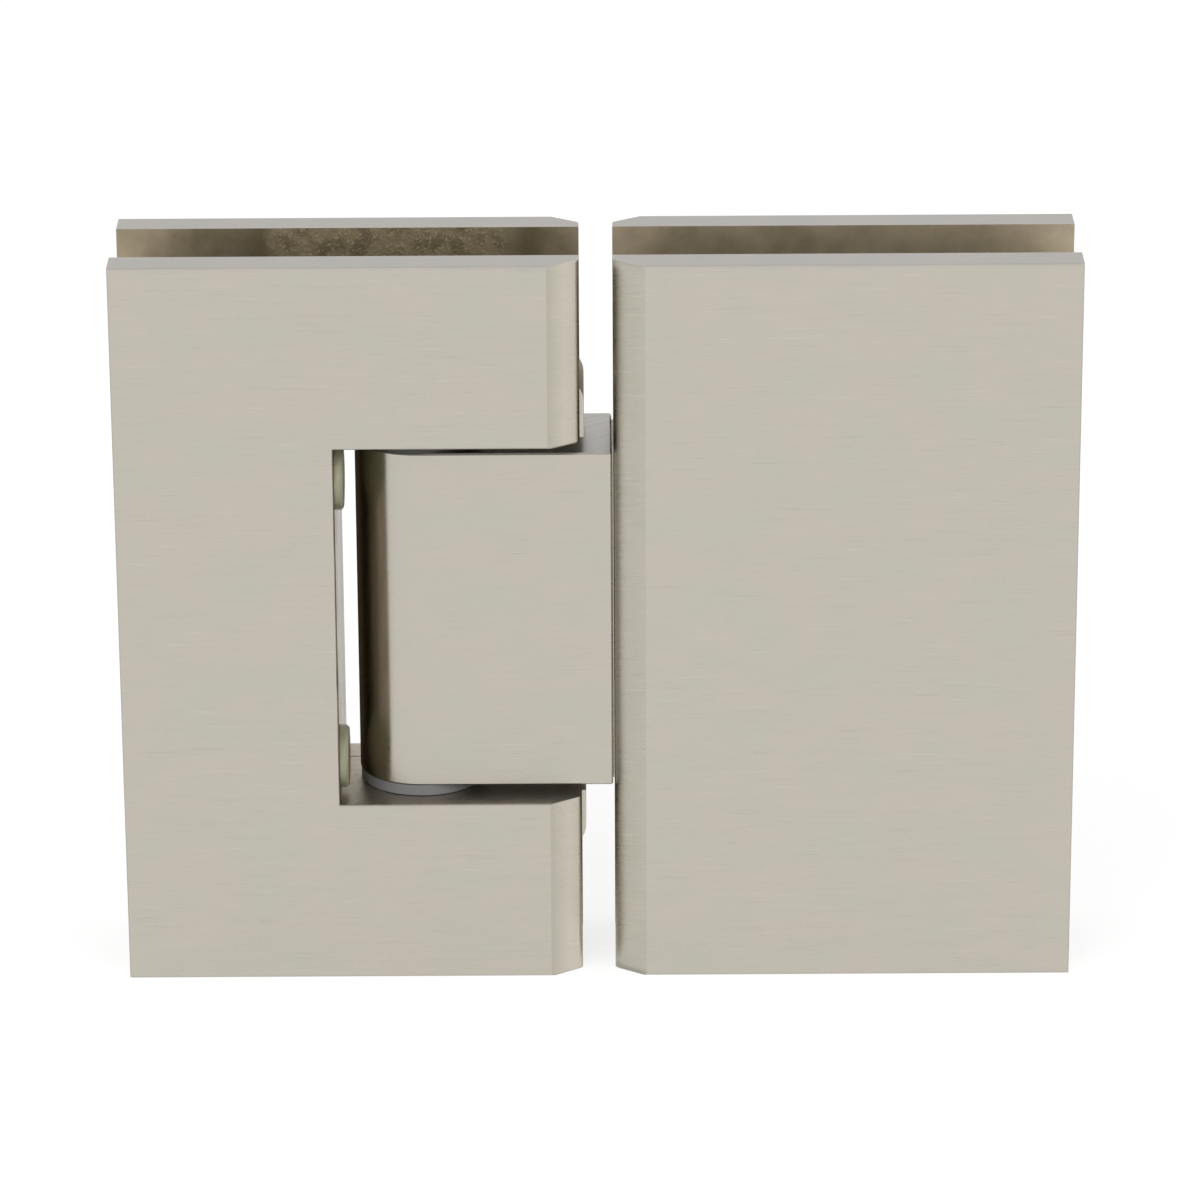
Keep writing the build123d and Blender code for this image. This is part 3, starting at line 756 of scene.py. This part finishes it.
def soft_plastic(name, light, dark, ior, roughness, clear=0.0, cloud_mm=SMALL_CLOUD_MM):
    """A moulded plastic: two close tones in soft clouds, and clear as the share of light let through."""
    material, tree, surface = new_material(name)
    clouds = pattern(tree, (cloud_mm,) * 3)
    tone = add_node(tree, "ShaderNodeMix", COLOUR_MIX, {
        FIRST: linear(light), SECOND: linear(dark)}, {SHARE: clouds})
    relief = add_node(tree, "ShaderNodeBump", values={"Distance": SKIN_DEPTH_MM * MM}, links={
        "Height": clouds})
    plastic = add_node(tree, "ShaderNodeBsdfPrincipled", values={
        "Roughness": roughness, "IOR": ior, "Transmission Weight": clear}, links={
        "Base Color": tone.outputs[MIXED], "Normal": relief.outputs[0]})
    tree.links.new(plastic.outputs[0], surface)
    return material


# Vinyl gives a cloudy pale sheet with a wet gloss.
vinyl = soft_plastic(
    "clear_vinyl", "DDE1DE", "CFD4D1", VINYL_IOR, roughness=0.3, clear=0.3, cloud_mm=GASKET_CLOUD_MM)
# Nylon gives a waxy grey, and a dark grey copy on the upper washer that is painted shade.
nylon = soft_plastic("grey_nylon", "9A9A9B", "8E8E90", NYLON_IOR, roughness=0.38, clear=0.15)
nylon_painted_shade = soft_plastic("grey_nylon_painted_shade", "4A4947", "3E3D3B", NYLON_IOR, roughness=0.45)
# Acetal gives a dense, smooth white.
acetal = soft_plastic("white_acetal", "E6E4DE", "DAD8D2", ACETAL_IOR, roughness=0.35)
# Polyurethane gives a pale yellow-green that light gets into, and a flat olive copy painted as the shade
# on the ends that face the barrel.
urethane = soft_plastic("cast_polyurethane", "CACBAC", "BCBD9C", URETHANE_IOR, roughness=0.3, clear=0.25)
urethane_painted_shade = soft_plastic("polyurethane_painted_shade", "948D70", "867F64", URETHANE_IOR, roughness=0.4)
print("Made", vinyl.name, nylon.name, nylon_painted_shade.name, acetal.name, urethane.name, urethane_painted_shade.name)

# %% [markdown]
# Which finish goes where
#
# One plate carries several finishes: brushed outside, bright round the notch, raw inside. Faces could be
# picked by hand in edit mode, but then a change of shape would lose them. So they are sorted by where
# they lie and which way they look, with the sizes taken from the frame. A face's direction is a vector of
# length 1, and each part of it says how far the face looks along that axis.

# %% Sort the inner faces
MOSTLY = 0.5
SQUARE_ON = 0.9
TOLERANCE_MM = 0.05
NOTCH_SLACK_MM = 0.3
half_gap_mm = -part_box("door_front_gasket")[0].y / MM
notch_low_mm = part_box("lower_thrust_washer")[0].z / MM
notch_high_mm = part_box("upper_thrust_washer")[1].z / MM
buffer_face_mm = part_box("lower_buffer")[1].x / MM
leaf_gap_mm = 2 * half_leaf_gap_mm


def in_notch(middle):
    """Places between the upper and the lower wall of the notch, with the walls themselves."""
    return notch_low_mm - NOTCH_SLACK_MM < middle.z < notch_high_mm + NOTCH_SLACK_MM


def on_notch_floor(middle, normal):
    """The upper and lower walls of the notch, across both plates."""
    return in_notch(middle) and abs(normal.z) > MOSTLY and abs(normal.y) < MOSTLY


def on_notch_back(middle, normal):
    """The wall of the notch that faces the barrel, across both plates."""
    return in_notch(middle) and normal.x > MOSTLY and middle.x < buffer_face_mm


def on_glass_side(middle, normal):
    """Faces that press on the gasket and the glass: they look at the other plate."""
    inward = abs(normal.y) > SQUARE_ON and normal.y * middle.y < 0
    return inward and abs(middle.y) < half_gap_mm + TOLERANCE_MM


def in_rim(middle, normal):
    """Walls that stand in the glass cut-out, and the screw holes."""
    return abs(middle.y) < half_gap_mm - TOLERANCE_MM


def on_rim_end(middle, normal):
    """Ends of the rim, in the gap between the leaves."""
    return in_rim(middle, normal) and abs(middle.x) < leaf_gap_mm


print("Glass gap", round(2 * half_gap_mm, 2), "mm")
print("Notch from", round(notch_low_mm, 2), "to", round(notch_high_mm, 2), "mm")

# %% Sort the outer faces
LEVEL = 0.7
SLOPING = 0.35
BARELY = 0.05
BEVEL_ZONE_GAPS = 3


def on_bevel(middle, normal):
    """The sloping strip along the hinge line."""
    slopes = abs(normal.x) > SLOPING and abs(normal.y) > SLOPING
    return slopes and abs(middle.x) < BEVEL_ZONE_GAPS * leaf_gap_mm


def on_level_edge(middle, normal):
    """Top and bottom edges of a plate or of the tongue."""
    return abs(normal.z) > LEVEL


def on_barrel(middle, normal):
    """The round of the pivot block, from where it turns away from its flat sides."""
    return normal.x < -BARELY


def on_button_face(middle, normal):
    """The end of a buffer that faces the barrel, which takes a painted shade."""
    return normal.x > SQUARE_ON


def anywhere(middle, normal):
    """Every face."""
    return True


print("Bevels lie within", round(BEVEL_ZONE_GAPS * leaf_gap_mm, 2), "mm of the hinge line")

# %% [markdown]
# Painting the plates
#
# A mesh holds a list of materials, and each face the number of one of them. For each piece the finishes
# come with their tests, in order, and a face takes the first whose test it passes, so the last test
# catches the rest. No face is cut or moved for it.


# %% Paint the plates
def paint(node, *finishes):
    """Gives each face of a node the first finish whose test it passes."""
    mesh = nodes[node].data
    mesh.materials.clear()
    for material, _ in finishes:
        mesh.materials.append(material)
    for face in mesh.polygons:
        middle = face.center / MM
        fits = [test(middle, face.normal) for _, test in finishes]
        face.material_index = fits.index(True)


for plate in ("door_front_plate", "door_rear_plate"):
    paint(plate, (nickel_bright, on_notch_floor), (nickel_filed, on_notch_back),
          (nickel_bright, on_rim_end), (brass_cast, on_glass_side), (brass_cast, in_rim),
          (nickel_door_bevel, on_bevel), (nickel_edge, on_level_edge), (nickel_face, anywhere))
for plate in ("fixed_front_plate", "fixed_rear_plate"):
    paint(plate, (brass_cast, on_glass_side), (brass_cast, in_rim), (nickel_fixed_bevel, on_bevel),
          (nickel_edge, on_level_edge), (nickel_face, anywhere))
paint("pivot_block", (nickel_milled, on_level_edge), (nickel_barrel, on_barrel), (nickel_face, anywhere))
print("Painted four plates and the pivot block")

# %% [markdown]
# Painting the small pieces
#
# The small pieces have one finish each, so a table of piece and material is all that they need. Only the
# two buffers have a second one, a painted shade on the end that faces the barrel across a narrow gap.

# %% Paint the small pieces
for node, material in {
    "pivot_pin": steel_upright,
    "door_clamp_screws": steel_screws,
    "fixed_clamp_screws": steel_screws,
    "detent_set_screw": steel_level,
    "detent_plunger": brass_turned,
    "detent_spring": urethane,
    "lower_thrust_washer": nylon,
    # The upper washer's dark grey is painted shade.
    "upper_thrust_washer": nylon_painted_shade,
    "lower_bush": acetal,
    "upper_bush": acetal,
    "door_front_gasket": vinyl,
    "door_rear_gasket": vinyl,
    "fixed_front_gasket": vinyl,
    "fixed_rear_gasket": vinyl,
}.items():
    paint(node, (material, anywhere))
# The buffers' ends that face the barrel are painted dark: painted shade of the narrow gap.
for button in ("lower_buffer", "upper_buffer"):
    paint(button, (urethane_painted_shade, on_button_face), (urethane, anywhere))
print("Painted all", len(nodes), "pieces")
